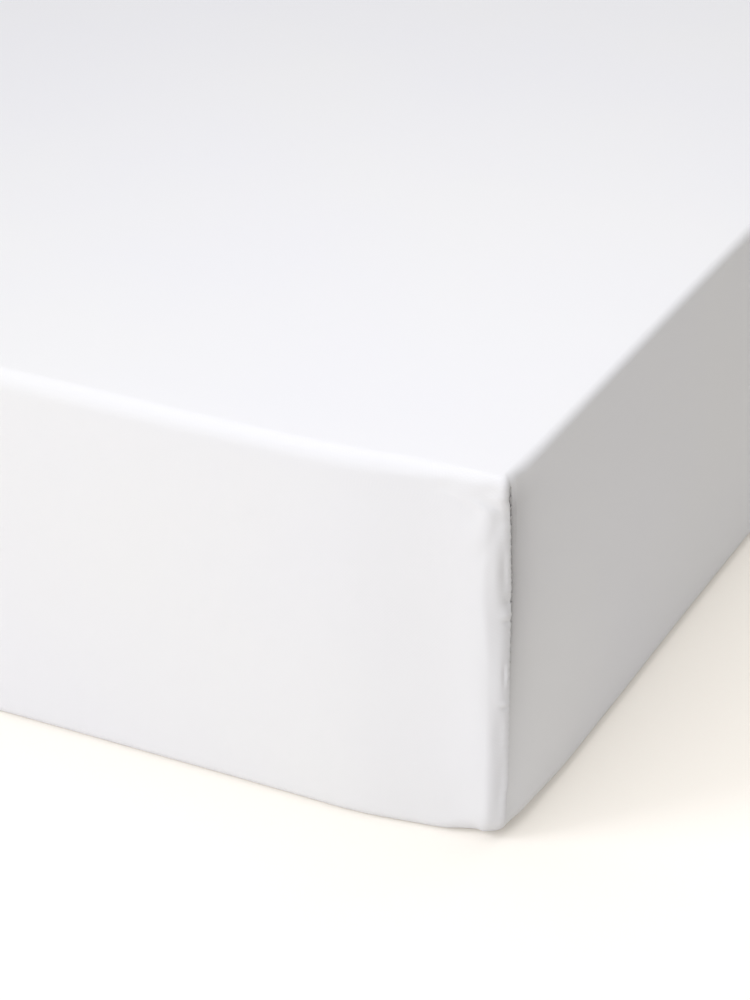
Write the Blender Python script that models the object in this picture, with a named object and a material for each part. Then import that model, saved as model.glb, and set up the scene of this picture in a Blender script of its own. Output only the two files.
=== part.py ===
"""A fitted sheet stretched over a single mattress.

The sheet is one cloth. It lies over the top, drops down the four sides, and its lower edge
is turned under the mattress. Four upright seams close its corners. Each seam starts at the
point of the corner and runs down to the floor. The end panel wraps round the mattress's
upright edge to meet it, and the side panel runs flat up to it.

Metres, +Z up. The origin is on the floor under the middle of the bed, X runs across it and
Y along it. The corner that is seen best is the one at +X and -Y.
"""
import math
from collections import namedtuple

import bmesh
import bpy

# --- Driving dimensions -------------------------------------------------------------------
WIDTH = 0.900             # across the bed, outside of the cloth
LENGTH = 2.000            # along the bed
DEPTH = 0.250             # from the floor to the top edge
CLOTH = 0.002             # wall of the sheet
AIR = 0.002               # between the cloth and the mattress's sides and edges
TOP_AIR = 0.001           # between the cloth and the mattress's top
FLOOR_AIR = 0.0003        # between the turned-under cloth and the mattress's underside
SEAM_AIR = 0.0020         # more air behind a seam, whose furrow sinks in

CROWN = 0.002             # the top is this much higher in the middle than at its edges
SHOULDER = {"end": 0.011, "side": 0.006}    # radius of the top edge along a panel
SHOULDER_AT_SEAM = 0.007  # and at a corner
SHOULDER_GROWS = 0.060    # over this distance from the seam
TOE = {"end": 0.008, "side": 0.0115}    # radius of the bottom edge along a panel
TOE_AT_SEAM = 0.018       # and at a corner, where the cloth leaves the floor early
TOE_GROWS = {"end": (0.018, 0.052), "side": (0.012, 0.090)}   # it changes between these distances
UNDER = 0.090             # width of the band that is turned under
UNDER_ROUND = 0.120       # radius of its inner edge at the corners
UNDER_ROUND_FROM = 0.160  # that arc takes up the cloth from here to the seam

WRAP = 0.020              # cloth of the end panel that goes round the upright edge
DRAW_FROM = 0.025         # the end panel is drawn back between these distances
DRAW_TO = 0.110
SIDE_EASE = 0.025         # the side panel eases in to the seam over this distance
SEAM_SINK = 0.0012        # depth of the seam's furrow
SEAM_HALF = 0.0020        # and half its width
WAVER = 0.0008            # slow in-and-out of the sides, not quite taut
TOP_WAVER = 0.0006        # and of the top

# One row a corner: the side it is on along X and Y, and how far the end panel is drawn back
# beside the seam, how wide the seam's turn is and how it wanders, against SEAM_ROWS.
CORNER_COLUMNS = ("x", "y", "drawn", "wide", "wander")
CORNER_ROWS = (
    (+1, -1, 1.00, 1.00, 1.0),
    (+1, +1, 0.85, 1.06, -0.7),
    (-1, +1, 1.10, 0.94, 0.8),
    (-1, -1, 0.90, 1.03, -1.0),
)
CORNERS = [dict(zip(CORNER_COLUMNS, row)) for row in CORNER_ROWS]

# Where a seam lies at each height: inward from the side's plane and from the end's plane,
# and how far it wanders from there. Then the end panel beside it: how far it is drawn back
# from its plane, how many degrees it turns round the upright edge before the seam, and how
# many of them on the nearly flat facet between. That facet takes up a share of the turn's
# length, its reach, and the tight turn beside the seam another. Near the top the panel is
# tucked back a little further, where the corner's point draws it in.
SEAM_COLUMNS = ("height", "from_side", "from_end", "wander", "drawn", "turn", "facet", "reach", "tight", "tuck")
SEAM_ROWS = (
    (0.000, 0.0034, 0.0166, 0.0000, 0.0076, 62, 34, 1.00, 0.46, 0.0000),
    (0.030, 0.0024, 0.0166, -0.0004, 0.0072, 74, 36, 1.00, 0.50, 0.0000),
    (0.045, 0.0016, 0.0180, -0.0004, 0.0071, 78, 38, 1.00, 0.52, 0.0000),
    (0.065, 0.0015, 0.0174, -0.0002, 0.0070, 80, 38, 1.00, 0.56, 0.0000),
    (0.118, 0.0015, 0.0172, 0.0002, 0.0070, 84, 39, 1.00, 0.56, 0.0000),
    (0.172, 0.0015, 0.0178, 0.0019, 0.0070, 86, 37, 1.00, 0.52, 0.0000),
    (0.205, 0.0015, 0.0173, 0.0008, 0.0070, 86, 36, 1.00, 0.46, 0.0002),
    (0.226, 0.0015, 0.0180, 0.0000, 0.0072, 86, 35, 0.80, 0.36, 0.0018),
    (0.237, 0.0015, 0.0172, 0.0000, 0.0075, 88, 8, 0.50, 0.20, 0.0022),
    (0.252, 0.0016, 0.0140, 0.0000, 0.0076, 88, 4, 0.50, 0.20, 0.0018),
)
TUCK_SPAN = 0.024         # the tuck eases out over this

# Most of the facet's angle comes quickly, where the turn starts, over this share of its
# length, and the rest steadily.
FACET_QUICK, QUICK_SPAN = 0.74, 0.20
TURN_STEPS = 96

# Distances of the mesh's upright lines from a seam, out to the middle of each panel.
END_SPOTS = (0.0, SEAM_HALF, 0.006, 0.0105, 0.015, WRAP, 0.030, 0.042, 0.058, 0.080, 0.110,
             0.160, 0.240, 0.345, WIDTH / 2)
SIDE_SPOTS = (0.0, SEAM_HALF, 0.006, 0.014, 0.026, 0.050, 0.090, 0.160, 0.280, 0.450, 0.700,
              LENGTH / 2)
NET_FROM = 0.025          # the net of the top takes up the lines from here on
UNDER_STEPS = 2

# The mattress needs fewer lines.
INNER_END_SPOTS = (0.0, 0.006, 0.013, WRAP, 0.042, 0.080, 0.160, WIDTH / 2)
INNER_SIDE_SPOTS = (0.0, 0.014, 0.050, 0.160, 0.450, LENGTH / 2)

# The two surfaces that are read from the skin: how far inside the cloth's outer face they
# lie along the walls, behind a seam, under the top and over the floor, how deep the seam's
# furrow is, and how many steps go round each edge and down the wall.
Layer = namedtuple("Layer", "inset seam_inset drop rise furrow shoulder_steps wall_steps toe_steps")
OUTSIDE = Layer(0.0, 0.0, 0.0, 0.0, SEAM_SINK, 5, 8, 3)
INSIDE = Layer(CLOTH + AIR, SEAM_AIR, CLOTH + TOP_AIR, CLOTH + FLOOR_AIR, 0.0, 3, 4, 2)


# --- Small helpers ------------------------------------------------------------------------
def smooth(value, start, end):
    """0 before start, 1 after end, and a soft S between them."""
    share = min(1.0, max(0.0, (value - start) / (end - start)))
    return share * share * (3 - 2 * share)


def from_rows(rows, columns, column, height):
    """Read a column of a table at a height, on a soft curve through its rows."""
    at = columns.index(column)
    for low, high in zip(rows, rows[1:]):
        if height <= high[0]:
            share = smooth(height, low[0], high[0])
            return low[at] + share * (high[at] - low[at])
    return rows[-1][at]


def mixed(first, second, share):
    return tuple(a + share * (b - a) for a, b in zip(first, second))


# --- The skin: every surface is read from it ----------------------------------------------
# A spot is an upright line of the skin: the nearest corner, "end" or "side", the distance
# from that corner's seam, and which of the four panels it is on.
# In a corner's own measure, u is inward from the side's plane and v from the end's plane.
Spot = namedtuple("Spot", "corner panel distance number")


def at_seam(column, height):
    return from_rows(SEAM_ROWS, SEAM_COLUMNS, column, height)


def seam_place(corner, height):
    u = at_seam("from_side", height)
    v = at_seam("from_end", height) * corner["wide"] + at_seam("wander", height) * corner["wander"]
    return u, v


def turn_at(height, share):
    """How far the end panel has turned, at a share of the way from the seam."""
    full_turn, facet = (math.radians(at_seam(column, height)) for column in ("turn", "facet"))
    reach, tight = (at_seam(column, height) for column in ("reach", "tight"))
    into = max(0.0, reach - share)
    quick = FACET_QUICK * smooth(into, 0.0, QUICK_SPAN) + (1 - FACET_QUICK) * into / reach
    return facet * quick + (full_turn - facet) * (1 - smooth(share, 0.0, tight))


def end_turn(height, share):
    """Ways along and in for a turn one metre long, from the seam to a share of it."""
    along = into = 0.0
    steps = share * TURN_STEPS
    first = turn_at(height, 0.0)
    for step in range(math.ceil(steps)):
        second = turn_at(height, (step + 1) / TURN_STEPS)
        part = min(1.0, steps - step)
        along += part * (math.cos(first) + math.cos(second)) / 2
        into += part * (math.sin(first) + math.sin(second)) / 2
        first = second
    return along / TURN_STEPS, into / TURN_STEPS


def end_wall(corner, distance, height):
    """The end panel in plan: drawn back, then round the upright edge to the seam."""
    seam_u, seam_v = seam_place(corner, height)
    drawn = at_seam("drawn", height) * corner["drawn"]
    tuck = at_seam("tuck", height)
    whole_along, whole_in = end_turn(height, 1.0)
    turn_long = (seam_v - drawn - tuck) / whole_in
    start_u = seam_u + turn_long * whole_along
    if distance < WRAP:
        along, into = end_turn(height, distance / WRAP)
        u, v = seam_u + turn_long * along, drawn + turn_long * (whole_in - into)
    else:
        share = (distance - WRAP) / (WIDTH / 2 - WRAP)
        u = start_u + share * (WIDTH / 2 - start_u)
        across = corner["x"] * (WIDTH / 2 - u)
        flat = smooth(u, DRAW_FROM, DRAW_TO)
        waver = WAVER * math.sin(17 * across + 6 * height + 1.1 * corner["y"])
        v = drawn * (1 - flat) + waver * flat
    return u, v + tuck * (1 - smooth(u, start_u, start_u + TUCK_SPAN))


def side_wall(corner, distance, height):
    """The side panel in plan: flat, and eased in to the seam."""
    seam_u, seam_v = seam_place(corner, height)
    v = seam_v + distance * (LENGTH / 2 - seam_v) / (LENGTH / 2)
    u = seam_u * (1 - smooth(distance, 0.0, SIDE_EASE))
    along = corner["y"] * (LENGTH / 2 - v)
    u += WAVER * smooth(distance, 0.0, DRAW_TO) * math.sin(9 * along + 5 * height + 0.7 * corner["x"])
    return u, v


def inward(spot):
    """The level direction in which a spot's edges bend in, turning to the diagonal at a seam."""
    if spot.panel == "end":
        turn = math.pi / 4 * (1 - smooth(spot.distance, 0.0, 1.6 * WRAP))
    else:
        turn = math.pi / 4 * (1 + smooth(spot.distance, 0.0, 2 * WRAP))
    return math.sin(turn), math.cos(turn)


def plan(spot, height, inset):
    """World x and y of a spot on the wall, moved inward."""
    corner = spot.corner
    wall = end_wall if spot.panel == "end" else side_wall
    u, v = wall(corner, spot.distance, height)
    along_u, along_v = inward(spot)
    return (corner["x"] * (WIDTH / 2 - u - inset * along_u),
            corner["y"] * (LENGTH / 2 - v - inset * along_v))


def top_height(x, y):
    """The nearly flat top: a low crown and a slow waver."""
    crown = CROWN * (1 - (2 * x / WIDTH) ** 2) * (1 - (2 * y / LENGTH) ** 2)
    return DEPTH + crown + TOP_WAVER * math.sin(7 * x + 4 * y) * math.cos(5 * x - 6 * y)


def shoulder_radius(spot):
    share = smooth(spot.distance, 0.0, SHOULDER_GROWS)
    return SHOULDER_AT_SEAM + (SHOULDER[spot.panel] - SHOULDER_AT_SEAM) * share


def toe_radius(spot):
    share = smooth(spot.distance, *TOE_GROWS[spot.panel])
    return TOE_AT_SEAM + (TOE[spot.panel] - TOE_AT_SEAM) * share


def wall_inset(spot, layer):
    """How far inside the skin a layer's wall is at a spot."""
    return layer.inset + layer.seam_inset * (1 - smooth(spot.distance, 0.0, WRAP))


def furrow(spot, layer):
    """How far the seam's furrow sinks a spot of the wall."""
    return layer.furrow if spot.distance == 0.0 else 0.0


def shoulder_point(spot, turn, layer):
    """On the top edge: turn is 0 on the top and a quarter turn on the wall."""
    radius = shoulder_radius(spot)
    inset = wall_inset(spot, layer)
    level = top_height(*plan(spot, DEPTH, inset + radius)) - layer.drop
    z = level - radius * (1 - math.cos(turn))
    sunk = furrow(spot, layer) * math.sin(turn)
    return (*plan(spot, z, inset + sunk + radius * (1 - math.sin(turn))), z)


def wall_point(spot, share, high, low, layer):
    """On the wall, between the foot of the top edge and the head of the bottom edge."""
    z = high + (low - high) * share
    return (*plan(spot, z, wall_inset(spot, layer) + furrow(spot, layer)), z)


def toe_point(spot, turn, layer):
    """On the bottom edge: turn is 0 on the wall and a quarter turn on the floor."""
    radius = toe_radius(spot)
    z = layer.rise + radius * (1 - math.sin(turn))
    sunk = furrow(spot, layer) * math.cos(turn)
    return (*plan(spot, z, wall_inset(spot, layer) + sunk + radius * (1 - math.cos(turn))), z)


def hem_point(spot):
    """On the inner edge of the turned-under band, which is straight and rounded at the corners."""
    quarter = math.pi / 2
    half = WIDTH / 2 if spot.panel == "end" else LENGTH / 2
    share = min(1.0, spot.distance / UNDER_ROUND_FROM)
    turn = quarter / 2 * (1 - share)
    rest = max(0.0, spot.distance - UNDER_ROUND_FROM) / (half - UNDER_ROUND_FROM)
    along = (half - UNDER - UNDER_ROUND) * (1 - rest) + UNDER_ROUND * math.sin(turn)
    out = UNDER_ROUND * (1 - math.cos(turn))
    if spot.panel == "end":
        return spot.corner["x"] * along, spot.corner["y"] * (LENGTH / 2 - UNDER - out), 0.0
    return spot.corner["x"] * (WIDTH / 2 - UNDER - out), spot.corner["y"] * along, 0.0


# --- Rings of points, and the mesh between them -------------------------------------------
def panel_spots(number, first, second, panel, distances):
    """Spots from one corner's seam to the next one's, without the last."""
    out = [Spot(first, panel, distance, number) for distance in distances]
    back = [Spot(second, panel, distance, number) for distance in reversed(distances[1:-1])]
    return out + back


def round_the_bed(end_distances, side_distances):
    """Spots of the foot, right, head and left panels, once round against the clock."""
    right_foot, right_head, left_head, left_foot = CORNERS
    return (panel_spots(0, left_foot, right_foot, "end", end_distances)
            + panel_spots(1, right_foot, right_head, "side", side_distances)
            + panel_spots(2, right_head, left_head, "end", end_distances)
            + panel_spots(3, left_head, left_foot, "side", side_distances))


def edge_rings(spots, layer):
    """Rings from the top's border down the wall to the floor."""
    quarter = math.pi / 2
    shoulder = [[shoulder_point(spot, quarter * i / layer.shoulder_steps, layer) for spot in spots]
                for i in range(layer.shoulder_steps + 1)]
    toe = [[toe_point(spot, quarter * i / layer.toe_steps, layer) for spot in spots]
           for i in range(layer.toe_steps + 1)]
    wall = [[wall_point(spot, step / layer.wall_steps, high[2], low[2], layer)
             for spot, high, low in zip(spots, shoulder[-1], toe[0])]
            for step in range(1, layer.wall_steps)]
    return shoulder + wall + toe


def net_points(spots, ring, height):
    """A net across a ring: its lines go on from the ring's spots, without those at the seams."""
    kept = [[i for i, spot in enumerate(spots) if spot.number == number and spot.distance >= NET_FROM]
            for number in range(4)]
    foot, right, head, left = kept[0], kept[1], kept[2][::-1], kept[3][::-1]
    net = []
    for r, l in zip(right, left):
        t = (ring[r][1] + LENGTH / 2) / LENGTH
        line = []
        for f, h in zip(foot, head):
            s = (ring[f][0] + WIDTH / 2) / WIDTH
            x = ring[f][0] + t * (ring[h][0] - ring[f][0])
            y = ring[l][1] + s * (ring[r][1] - ring[l][1])
            line.append((x, y, height(x, y)))
        net.append(line)
    return kept, net


def add_ring(mesh, ring):
    return [mesh.verts.new(point) for point in ring]


def add_wall(mesh, rings):
    """Faces between rings, from the upper to the lower, facing out."""
    lines = [add_ring(mesh, ring) for ring in rings]
    count = len(lines[0])
    for upper, lower in zip(lines, lines[1:]):
        for i in range(count):
            after = (i + 1) % count
            mesh.faces.new((upper[i], lower[i], lower[after], upper[after]))
    return lines


def close_ring(mesh, spots, ring, line, height, facing_up):
    """Fill a ring with its net, a strip along each side and one face at each corner."""
    kept, points = net_points(spots, ring, height)
    net = [add_ring(mesh, row) for row in points]

    def face(*corners):
        mesh.faces.new(corners if facing_up else corners[::-1])

    for low, high in zip(net, net[1:]):
        for i in range(len(low) - 1):
            face(low[i], low[i + 1], high[i + 1], high[i])
    inner = [net[0], [row[-1] for row in net], net[-1][::-1], [row[0] for row in net[::-1]]]
    for side in range(4):
        outer = [line[i] for i in kept[side]]
        for i in range(len(outer) - 1):
            face(outer[i], outer[i + 1], inner[side][i + 1], inner[side][i])
        start, stop = kept[side][-1], kept[(side + 1) % 4][0]
        if stop < start:
            stop += len(line)
        face(*[line[i % len(line)] for i in range(start, stop + 1)], inner[side][-1])


def add_object(name, mesh, material):
    data = bpy.data.meshes.new(name)
    mesh.to_mesh(data)
    mesh.free()
    data.shade_smooth()
    data.set_sharp_from_angle(angle=math.radians(50))
    data.materials.append(material)
    thing = bpy.data.objects.new(name, data)
    bpy.context.scene.collection.objects.link(thing)
    return thing


def cloth_material(name, colour, roughness):
    material = bpy.data.materials.new(name)
    material.use_nodes = True
    shader = material.node_tree.nodes["Principled BSDF"]
    shader.inputs["Base Color"].default_value = (*colour, 1.0)
    shader.inputs["Roughness"].default_value = roughness
    shader.inputs["Metallic"].default_value = 0.0
    return material


# --- The two pieces -----------------------------------------------------------------------
def make_sheet():
    """The cloth's outer face, open underneath, given its wall inwards."""
    spots = round_the_bed(END_SPOTS, SIDE_SPOTS)
    rings = edge_rings(spots, OUTSIDE)
    floor_ring = rings[-1]
    hem = [hem_point(spot) for spot in spots]
    for step in range(1, UNDER_STEPS + 1):
        rings.append([mixed(a, b, step / UNDER_STEPS) for a, b in zip(floor_ring, hem)])
    mesh = bmesh.new()
    lines = add_wall(mesh, rings)
    close_ring(mesh, spots, rings[0], lines[0], top_height, facing_up=True)
    sheet = add_object("fitted_sheet", mesh, cloth_material("white cotton", (0.93, 0.93, 0.94), 0.75))
    wall = sheet.modifiers.new("wall", "SOLIDIFY")
    wall.thickness = CLOTH
    wall.offset = -1.0
    wall.use_even_offset = True
    return sheet


def make_mattress():
    """A plain block that fills the sheet, with the same rounded edges."""
    spots = round_the_bed(INNER_END_SPOTS, INNER_SIDE_SPOTS)
    rings = edge_rings(spots, INSIDE)
    mesh = bmesh.new()
    lines = add_wall(mesh, rings)
    close_ring(mesh, spots, rings[0], lines[0], lambda x, y: top_height(x, y) - INSIDE.drop, facing_up=True)
    close_ring(mesh, spots, rings[-1], lines[-1], lambda x, y: INSIDE.rise, facing_up=False)
    return add_object("mattress", mesh, cloth_material("plain ticking", (0.86, 0.85, 0.82), 0.85))


def main():
    for thing in list(bpy.data.objects):
        bpy.data.objects.remove(thing, do_unlink=True)
    make_sheet()
    make_mattress()


main()
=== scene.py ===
# %% [markdown]
# # A fitted sheet pulled over a mattress
# The solids come packed and fixed: one sheet and the mattress inside it. This script gives
# them their looks. It makes the same cloth again with far more points, so that the corner
# seam, its puckers and the soft dents beside it have room, and then gives the cloth its
# weave. Every size below is in metres, in the solids' own frame.

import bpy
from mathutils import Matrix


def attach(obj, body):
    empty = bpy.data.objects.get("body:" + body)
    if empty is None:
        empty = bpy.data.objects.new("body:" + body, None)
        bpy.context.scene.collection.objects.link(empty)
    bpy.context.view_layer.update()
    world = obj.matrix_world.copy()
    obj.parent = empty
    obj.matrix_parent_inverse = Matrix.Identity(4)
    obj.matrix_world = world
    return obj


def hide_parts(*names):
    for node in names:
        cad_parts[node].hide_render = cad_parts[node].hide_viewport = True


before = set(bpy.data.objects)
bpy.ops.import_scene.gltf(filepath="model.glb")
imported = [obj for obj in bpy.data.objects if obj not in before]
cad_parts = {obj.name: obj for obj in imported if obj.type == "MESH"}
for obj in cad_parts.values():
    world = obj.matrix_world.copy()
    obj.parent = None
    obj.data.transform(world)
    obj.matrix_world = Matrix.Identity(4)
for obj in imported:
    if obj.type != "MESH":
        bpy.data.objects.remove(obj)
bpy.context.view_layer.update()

import math
from collections import namedtuple

import bpy
import numpy as np
from mathutils import Vector

# %% [markdown]
# ## The camera
# A camera's place can be set by eye, or worked out from the box's straight edges. Here it
# was worked out: the point of the seen corner, the distance to it, and three angles. A long
# lens keeps the edges nearly parallel, as in a product picture.

# %% Camera
CORNER = Vector((0.45, -1.00, 0.25))    # the sharp point that the rounded corner would have
CORNER_IN_FRAME = (501.2, 489.5)        # where that point falls in a frame of 750 by 1000
FRAME_SIZE = (750, 1000)
CAMERA_DISTANCE = 1.760
FOCAL_IN_FRAME = 3149.0                 # focal length, in the same units as the frame
PITCH = math.radians(29.03)
YAW = math.radians(27.36)
ROLL = math.radians(-0.90)
SENSOR_MM = 36.0


def make_camera():
    away = math.cos(PITCH)
    back = Vector((math.sin(YAW) * away, -math.cos(YAW) * away, math.sin(PITCH)))
    level = Vector((math.cos(YAW), math.sin(YAW), 0))
    rising = back.cross(level)
    right = math.cos(ROLL) * level + math.sin(ROLL) * rising
    up = math.cos(ROLL) * rising - math.sin(ROLL) * level
    off_x = (CORNER_IN_FRAME[0] - FRAME_SIZE[0] / 2) * CAMERA_DISTANCE / FOCAL_IN_FRAME
    off_y = (CORNER_IN_FRAME[1] - FRAME_SIZE[1] / 2) * CAMERA_DISTANCE / FOCAL_IN_FRAME
    camera = bpy.data.objects.new("camera", bpy.data.cameras.new("camera"))
    bpy.context.scene.collection.objects.link(camera)
    camera.data.lens = FOCAL_IN_FRAME / FRAME_SIZE[1] * SENSOR_MM
    camera.data.sensor_width = SENSOR_MM
    axes = (right, up, back)
    for row in range(3):
        for column in range(3):
            camera.matrix_world[row][column] = axes[column][row]
    camera.matrix_world.translation = CORNER + CAMERA_DISTANCE * back - off_x * right + off_y * up
    bpy.context.scene.camera = camera
    return camera


camera = make_camera()
print("camera at", [round(v, 3) for v in camera.matrix_world.translation])
print("lens", round(camera.data.lens, 1), "mm")

# %% [markdown]
# ## Sizes of the bed and of its cloth
# These are the solids' own sizes, so that the finer cloth lies where theirs does. Only the
# tuck beside a seam differs: it ends nearer to the side here than in the solids. A sheet
# could be simulated, but this one is pulled smooth. Its shape is a rule, a rounded box with
# a seam at each corner, so it is worked out from sizes and short tables.

# %% Sizes shared with the solids
WIDTH, LENGTH, DEPTH = 0.900, 2.000, 0.250
CLOTH = 0.002
AIR, TOP_AIR, FLOOR_AIR = 0.002, 0.001, 0.0003
SEAM_AIR = 0.0020
CROWN = 0.002
SHOULDER = {"end": 0.011, "side": 0.006}
SHOULDER_AT_SEAM, SHOULDER_GROWS = 0.007, 0.060
TOE = {"end": 0.008, "side": 0.0115}
TOE_AT_SEAM = 0.018
TOE_GROWS = {"end": (0.018, 0.052), "side": (0.012, 0.090)}
UNDER, UNDER_ROUND, UNDER_ROUND_FROM = 0.090, 0.120, 0.160
WRAP = 0.020
DRAW_FROM, DRAW_TO = 0.025, 0.110
SIDE_EASE = 0.025
WAVER, TOP_WAVER = 0.0008, 0.0006
END_WAVES = (17, 6, 1.1)                # of the waver: along a panel, up it, and the corner's shift
SIDE_WAVES = (9, 5, 0.7)
SWING_END, SWING_SIDE = 1.6, 2.0        # in so many WRAPs the inward way leaves a seam's diagonal

CORNER_COLUMNS = ("x", "y", "drawn", "wide", "wander", "lift", "strength")
CORNER_ROWS = (
    (+1, -1, 1.00, 1.00, 1.0, 0.000, 1.00),
    (+1, +1, 0.85, 1.06, -0.7, -0.018, 0.80),
    (-1, +1, 1.10, 0.94, 0.8, 0.012, 0.90),
    (-1, -1, 0.90, 1.03, -1.0, -0.030, 0.85),
)
SEEN = 0                                # the row of the corner that the camera sees
SEAM_COLUMNS = ("height", "from_side", "from_end", "wander", "drawn", "turn", "facet", "reach",
                "tight", "tuck")
SEAM_ROWS = (
    (0.000, 0.0034, 0.0166, 0.0000, 0.0076, 62, 34, 1.00, 0.46, 0.0000),
    (0.030, 0.0024, 0.0166, -0.0004, 0.0072, 74, 36, 1.00, 0.50, 0.0000),
    (0.045, 0.0016, 0.0180, -0.0004, 0.0071, 78, 38, 1.00, 0.52, 0.0000),
    (0.065, 0.0015, 0.0174, -0.0002, 0.0070, 80, 38, 1.00, 0.56, 0.0000),
    (0.118, 0.0015, 0.0172, 0.0002, 0.0070, 84, 39, 1.00, 0.56, 0.0000),
    (0.172, 0.0015, 0.0178, 0.0019, 0.0070, 86, 37, 1.00, 0.52, 0.0000),
    (0.205, 0.0015, 0.0173, 0.0008, 0.0070, 86, 36, 1.00, 0.46, 0.0002),
    (0.226, 0.0015, 0.0180, 0.0000, 0.0072, 86, 35, 0.80, 0.36, 0.0018),
    (0.237, 0.0015, 0.0172, 0.0000, 0.0075, 88, 8, 0.50, 0.20, 0.0022),
    (0.252, 0.0016, 0.0140, 0.0000, 0.0076, 88, 4, 0.50, 0.20, 0.0018),
)
TUCK_SPAN = 0.038                       # the end panel's extra dip at a corner has eased out here
FACET_QUICK = 0.74                      # share of the facet's angle that comes as the turn starts
QUICK_SPAN = 0.20                       # and the share of the way that this takes
TURN_STEPS = 96


def smooth(value, start, end):
    """0 before start, 1 after end, and a soft S between them."""
    share = np.clip((value - start) / (end - start), 0.0, 1.0)
    return share * share * (3 - 2 * share)


def bump(value, middle, spread):
    """A soft hill, 1 high, about as wide on each side as its spread."""
    return np.exp(-((value - middle) / spread) ** 2)


def at_seam(column, height):
    """Read a column of SEAM_ROWS at any heights, on a soft curve through its rows."""
    table = np.array(SEAM_ROWS)
    at = SEAM_COLUMNS.index(column)
    row = np.clip(np.searchsorted(table[:, 0], height) - 1, 0, len(table) - 2)
    share = smooth(height, table[row, 0], table[row + 1, 0])
    return table[row, at] + share * (table[row + 1, at] - table[row, at])


seam_mid = float(at_seam("from_end", DEPTH / 2))
print("seam at mid height:", round(seam_mid * 1000, 1), "mm behind the end")

# %% [markdown]
# ## Upright lines of the cloth
# The cloth's walls are a net of upright lines and level rings. A line is named by its
# corner, its panel and its distance from that corner's seam. Near a seam the lines stand
# close, because that is where the cloth bends most, and further off a few will do. The
# seen corner gets more of them than the other three.

# %% Lines round the bed
SEEN_NEAR = (0.0, 0.0003, 0.0006, 0.0009, 0.0012, 0.0016, 0.0020, 0.0025, 0.0030, 0.0037, 0.0045,
             0.0055, 0.0066, 0.0078, 0.0090, 0.0103, 0.0116, 0.0130, 0.0145, 0.0160, 0.0180,
             WRAP, 0.0223)
OTHER_NEAR = (0.0, 0.0005, 0.0010, 0.0016, 0.0025, 0.0040, 0.0060, 0.0090, 0.0120, 0.0160, WRAP)
NET_FROM = 0.025
FAR = {
    "end": (NET_FROM, 0.030, 0.036, 0.043, 0.052, 0.063, 0.076, 0.092, 0.110, 0.132, 0.160, 0.195,
            0.240, 0.290, 0.345, 0.400, WIDTH / 2),
    "side": (NET_FROM, 0.030, 0.036, 0.043, 0.052, 0.063, 0.076, 0.092, 0.110, 0.132, 0.160, 0.195,
             0.240, 0.300, 0.370, 0.450, 0.540, 0.640, 0.750, 0.870, LENGTH / 2),
}
INNER = {
    "end": (0.0, 0.0090, 0.0160, WRAP, 0.030, 0.052, 0.092, 0.160, 0.290, WIDTH / 2),
    "side": (0.0, 0.0090, 0.0160, WRAP, 0.036, 0.063, 0.110, 0.195, 0.370, 0.640, LENGTH / 2),
}
PANELS = (("end", 3, 0), ("side", 0, 1), ("end", 1, 2), ("side", 2, 3))   # foot, right, head, left


def close_lines(corner, panel):
    near = SEEN_NEAR if corner == SEEN else OTHER_NEAR
    return near + FAR[panel]


def few_lines(corner, panel):
    return INNER[panel]


class Lines:
    """All the upright lines, once round the bed, as one array for each of their values."""

    def __init__(self, distances):
        rows = []
        for number, (panel, first, second) in enumerate(PANELS):
            rows += [(first, number, d) for d in distances(first, panel)]
            rows += [(second, number, d) for d in reversed(distances(second, panel)[1:-1])]
        self.corner = np.array([row[0] for row in rows])
        self.number = np.array([row[1] for row in rows])
        self.distance = np.array([row[2] for row in rows])
        self.end = np.array([PANELS[row[1]][0] == "end" for row in rows])
        for column, name in enumerate(CORNER_COLUMNS):
            setattr(self, name, np.array([CORNER_ROWS[row[0]][column] for row in rows]))
        self.count = len(rows)

    def by_panel(self, of_end, of_side):
        return np.where(self.end, of_end, of_side)

    def keys(self):
        """What a line and its match in a coarser or finer set have in common."""
        return list(zip(self.corner, self.number, self.distance.round(6)))


fine = Lines(close_lines)
print("upright lines:", fine.count, "at the seen corner:", int((fine.corner == SEEN).sum()))

# %% [markdown]
# ## The skin
# In plan, the end panel is drawn back a little and then goes round the mattress's upright
# edge, and the side panel runs flat up to it. The seam where they meet is therefore just
# round the corner, on the side. The top and bottom edges are arcs that grow softer near a
# seam, because the cloth spans the mattress's point there without touching it.

# %% Walls, edges and the turned-under band
SHELL_COLUMNS = "inset seam_inset drop rise shoulder_steps wall_steps toe_steps under_steps"
Shell = namedtuple("Shell", SHELL_COLUMNS)
OUTSIDE = Shell(0.0, 0.0, 0.0, 0.0, 18, 176, 12, 3)
INSIDE = Shell(CLOTH, SEAM_AIR, CLOTH, CLOTH, 6, 20, 5, 2)


def end_turn(full_turn, facet, reach, tight, share):
    """Ways along and in for a turn one metre long: at a share of it from the seam, and in all."""
    steps = np.linspace(0.0, 1.0, TURN_STEPS + 1)[:, None]
    into = np.maximum(0.0, reach - steps)
    quick = FACET_QUICK * smooth(into, 0.0, QUICK_SPAN) + (1 - FACET_QUICK) * into / reach
    turn = facet * quick + (full_turn - facet) * (1 - smooth(steps, 0.0, tight))
    low = np.minimum((share * TURN_STEPS).astype(int), TURN_STEPS - 1)
    part = share * TURN_STEPS - low
    line = np.arange(len(share))
    ways = []
    for step in (np.cos(turn), np.sin(turn)):
        way = np.cumsum((step[1:] + step[:-1]) / 2, axis=0) / TURN_STEPS
        way = np.concatenate([np.zeros((1, len(share))), way])
        ways += [way[low, line] * (1 - part) + way[low + 1, line] * part, way[-1]]
    return ways


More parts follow.
